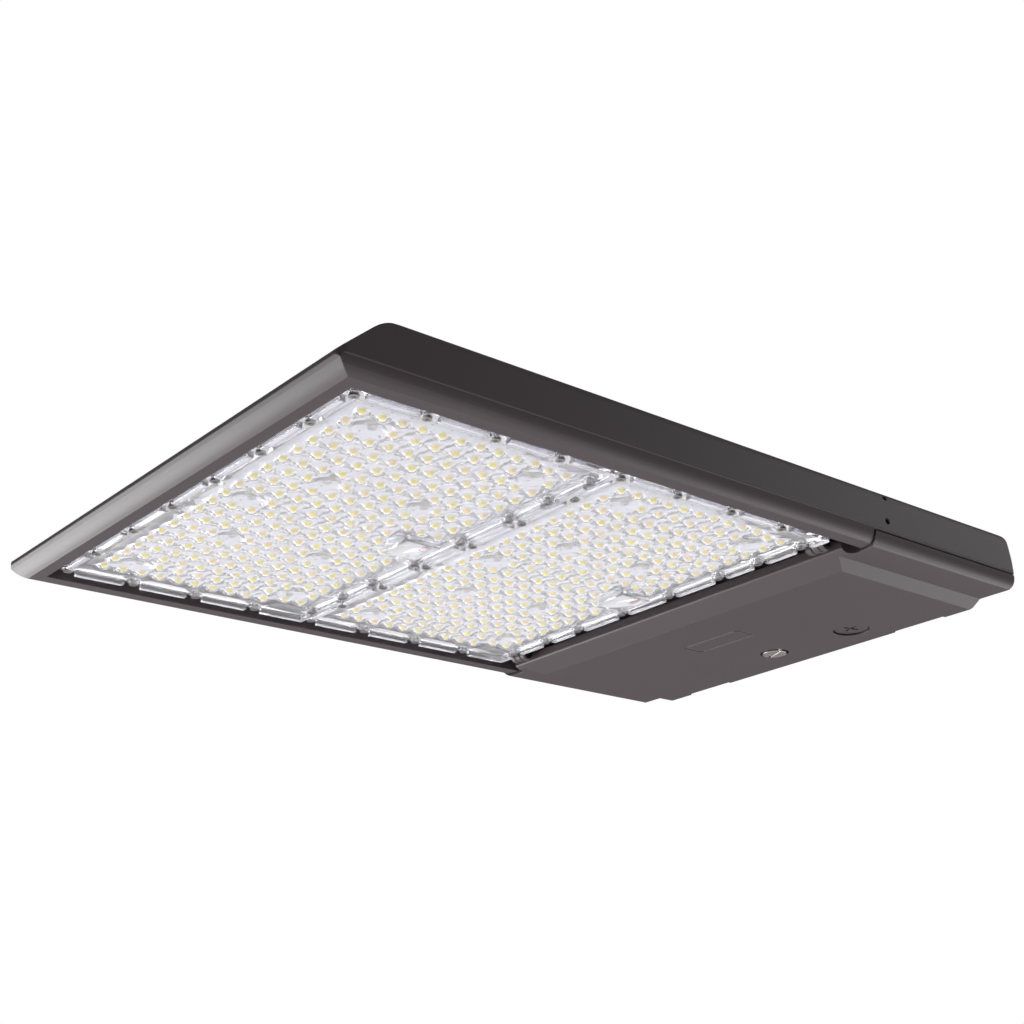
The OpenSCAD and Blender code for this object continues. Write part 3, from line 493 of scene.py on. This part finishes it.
# ---- the lenses and their gaskets ----
# Two injection-moulded optics of clear, slightly milky acrylic. Each has a hollow dome over every
# LED and raised bars between its screws; 22 pan-head screws press it onto a pale silicone gasket.
frame_back = -13.7 * MM
plate_back = -15.4 * MM
plate_face = -16.6 * MM
bar_face = -20.1 * MM
seat_gap = 0.05 * MM
dome_radius = 6.4 * MM
narrow_radius = 5.0 * MM
pocket_reach = (24.0 * MM, 20.0 * MM)
dome_height = 2.6 * MM
dome_sides = 16
hollow_radius = 3.2 * MM
hollow_height = 2.8 * MM
hollow_sides = 12
cap_rings = 3
cap_share = 0.97
same_level = 0.001 * MM
same_spot = 0.0001 * MM
bar_round = 0.5 * MM
bar_slack = 0.01 * MM
bar_angle = 1.0
lens_sharp_angle = math.radians(40)

silicone = finish("pale_silicone", (0.72, 0.72, 0.78), (0.5, 0.65), 0.0, 500.0)
give(silicone, "lens_gasket_front", "lens_gasket_rear")
acrylic = bpy.data.materials.new("clear_acrylic")
acrylic.use_nodes = True
acrylic_nodes, acrylic_links = acrylic.node_tree.nodes, acrylic.node_tree.links
acrylic_bsdf = acrylic_nodes["Principled BSDF"]
acrylic_bsdf.inputs["Base Color"].default_value = (0.97, 0.965, 1.0, 1)
acrylic_bsdf.inputs["Roughness"].default_value = 0.0
acrylic_bsdf.inputs["IOR"].default_value = 1.49
acrylic_bsdf.inputs["Transmission Weight"].default_value = 0.88
flow = acrylic_nodes.new("ShaderNodeTexNoise")
flow.inputs["Scale"].default_value = 90.0
flow_place = acrylic_nodes.new("ShaderNodeTexCoord")
flow_bump = acrylic_nodes.new("ShaderNodeBump")
flow_bump.inputs["Strength"].default_value = 0.15
flow_bump.inputs["Distance"].default_value = 0.0001
acrylic_links.new(flow_place.outputs["Object"], flow.inputs["Vector"])
acrylic_links.new(flow.outputs["Fac"], flow_bump.inputs["Height"])
acrylic_links.new(flow_bump.outputs["Normal"], acrylic_bsdf.inputs["Normal"])


def inside_outline(spots, starts, ends):
    """True where a point lies inside the loops: a ray along +X crosses their edges an odd
    number of times. The edges are taken in batches to save memory."""
    batch = 500
    crossings = np.zeros(len(spots), int)
    for first in range(0, len(starts), batch):
        a, b = starts[None, first:first + batch], ends[None, first:first + batch]
        y = spots[:, None, 1]
        spans = (a[..., 1] > y) != (b[..., 1] > y)
        rise = np.where(b[..., 1] == a[..., 1], 1.0, b[..., 1] - a[..., 1])
        across = a[..., 0] + (y - a[..., 1]) * (b[..., 0] - a[..., 0]) / rise
        crossings += (spans & (across > spots[:, None, 0])).sum(1)
    return crossings % 2 == 1


def refill(bm, level, centres, radii, height, sides):
    """Opens the flat face at a level and fills it again round a circle at each centre, by a
    constrained Delaunay triangulation. Each circle is closed by a cap of a sphere that bulges
    down: at share s of the cap's angle t from its pole, a ring has radius R sin(s t) and height
    R cos(s t) - R cos t, with R = (r^2 + h^2) / 2h and t = 2 atan(h / r) for the circle's own
    radius r. Triangles whose middle is nearer to a centre than cap_share of its radius are left
    out for the cap. The faces point down."""
    flat = [f for f in bm.faces if all(abs(v.co.z - level) < same_level for v in f.verts)]
    bmesh.ops.delete(bm, geom=flat, context="FACES")
    rim = [e for e in bm.edges if len(e.link_faces) == 1]
    rim_verts = list(dict.fromkeys(v for e in rim for v in e.verts))
    place = {v: i for i, v in enumerate(rim_verts)}
    edges = [(place[e.verts[0]], place[e.verts[1]]) for e in rim]
    starts, ends = (np.array([e.verts[k].co.xy for e in rim]) for k in (0, 1))
    spheres = (radii ** 2 + height ** 2) / (2 * height)
    tilts = 2 * np.arctan(height / radii)
    angle = np.arange(sides) * 2 * np.pi / sides
    circle = np.c_[np.cos(angle), np.sin(angle)]
    caps, feet = [], []
    for centre, sphere, tilt in zip(centres[:, :2], spheres, tilts):
        cap = []
        for ring in range(cap_rings):
            lean = tilt * (1 - ring / cap_rings)
            z = level - sphere * (math.cos(lean) - math.cos(tilt))
            spots = centre + circle * sphere * math.sin(lean)
            cap.append([bm.verts.new((*spot, z)) for spot in spots])
        caps.append((cap, bm.verts.new((*centre, level - height))))
        feet += cap[0]
    for k in range(len(centres)):
        first = len(rim_verts) + k * sides
        edges += [(first + i, first + (i + 1) % sides) for i in range(sides)]
    every = rim_verts + feet
    made = delaunay_2d_cdt([v.co.xy for v in every], edges, [], 0, same_spot)
    spots = np.array([tuple(v) for v in made[0]])
    triangles = np.array(made[2])
    middle = spots[triangles].mean(1)
    reach = [np.hypot(*(middle - c).T) / r for c, r in zip(centres[:, :2], radii)]
    kept = inside_outline(middle, starts, ends) & (np.min(reach, axis=0) > cap_share)
    filled = []
    for triangle in triangles[kept]:
        face = bm.faces.new([every[made[3][i][0]] for i in triangle])
        face.normal_update()
        if face.normal.z > 0:
            face.normal_flip()
        filled.append(face)
    for cap, pole in caps:
        for below, above in zip(cap, cap[1:]):
            for i in range(sides):
                j = (i + 1) % sides
                filled.append(bm.faces.new((below[i], above[i], above[j], below[j])))
        for i in range(sides):
            filled.append(bm.faces.new((cap[-1][i], pole, cap[-1][(i + 1) % sides])))
    return filled


def domed_lens(node, name, centres):
    """The CAD lens with a dome below and a hollow above in its plate at every LED. The domes by
    the connector's pocket are narrower, and the steep edges of the bars are rounded. The frame's
    back stands a hair below the gasket, so that light passes between them."""
    bm = merged_faces(node)
    by_pocket = centres[:, 1] > centres[:, 1].max() - pocket_reach[1]
    by_pocket &= np.abs(centres[:, 0]) < pocket_reach[0]
    domes = np.where(by_pocket, narrow_radius, dome_radius)
    refill(bm, plate_face, centres, domes, dome_height, dome_sides)
    hollows = np.full(len(centres), hollow_radius)
    inner = refill(bm, plate_back, centres, hollows, hollow_height, hollow_sides)
    bmesh.ops.reverse_faces(bm, faces=inner)
    for vert in bm.verts:
        if vert.co.z > frame_back - same_level:
            vert.co.z -= seat_gap
    weight = bm.edges.layers.float.new("bevel_weight_edge")
    for edge in bm.edges:
        low = all(v.co.z < bar_face + bar_slack for v in edge.verts)
        if low and len(edge.link_faces) == 2 and edge.calc_face_angle() > bar_angle:
            edge[weight] = 1.0
    piece = smooth_object(bm, name, acrylic, lens_sharp_angle)
    bevel = piece.modifiers.new("rounded_bars", "BEVEL")
    bevel.width = bar_round
    bevel.segments = 2
    bevel.limit_method = "WEIGHT"
    bevel.use_clamp_overlap = False
    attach(piece, "fixture")
    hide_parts(node)


domed_lens("lens_front", "lens_optic_front", leds_front)
domed_lens("lens_rear", "lens_optic_rear", leds_rear)
stainless = finish("stainless_steel", (0.60, 0.59, 0.58), (0.22, 0.36), 1.0, 1200.0)
give(stainless, "lens_screws")

# ---- the driver bay's contents ----
# A flat aluminium tray on four screws carries two potted drivers in dark cases. The surge
# protector and the terminal block are screwed to the bay's ceiling. With them come the earth
# screw, the rubber parts, the vent, the hinge pins and the steel behind the latch and the plug.
sheet_metal = finish("tray_sheet", (0.62, 0.62, 0.63), (0.3, 0.45), 1.0, 160.0, (14, 1, 1))
give(sheet_metal, "driver_tray")
give(zinc, "tray_screws", "driver_screws", "accessory_screws", "receptacle_screws")
driver_paint = finish("driver_case_paint", (0.035, 0.036, 0.04), (0.4, 0.55), 0.0, 800.0, bump=0.4)
give(driver_paint, "driver_left", "driver_right")
red_plastic = finish("surge_protector_plastic", (0.40, 0.03, 0.03), (0.35, 0.5), 0.0, 500.0)
give(red_plastic, "surge_protector")
green_zinc = finish("green_earth_screw", (0.05, 0.32, 0.09), (0.3, 0.45), 0.7, 900.0)
give(green_zinc, "ground_screw")
rubber = finish("black_rubber", (0.016, 0.016, 0.017), (0.55, 0.75), 0.0, 420.0, bump=0.4)
give(rubber, "supply_grommet", "lead_grommet", "door_gasket", "port_seal")
black_nylon = finish("black_nylon", (0.022, 0.022, 0.023), (0.4, 0.55), 0.0, 500.0)
give(black_nylon, "breather_vent")
give(stainless, "latch_receptacle", "latch_retainer", "port_nut")
give(black_oxide, "hinge_pins")

# ---- the door ----
# A second casting that hangs on the housing's two lugs and closes the driver bay from below.
# Same powder coat; a raised panel with bevelled sides and a plain rounded outline pressed in.
merged_copy("door", "door_casting", bronze, "door", 0.35 * MM, sharp_degrees=23.0)

# ---- the port plug ----
# A screwed plug in the sensor port's shallow recess, cast and coated like the door.
# Its disc has a cross recess for a coin or driver, and a nut holds it from inside.
merged_copy("port_plug", "port_plug_cast", bronze, "door", 0.2 * MM)

# ---- the latch ----
# A quarter-turn fastener: a turned steel stud whose slotted head sits in the door's recess.
# Its face is satin, and a spring clip behind the door keeps it from falling out.
turned_steel = finish("turned_steel", (0.60, 0.57, 0.54), (0.26, 0.42), 1.0, 500.0)
merged_copy("latch_stud", "latch_stud_turned", turned_steel, "latch", 0.3 * MM)
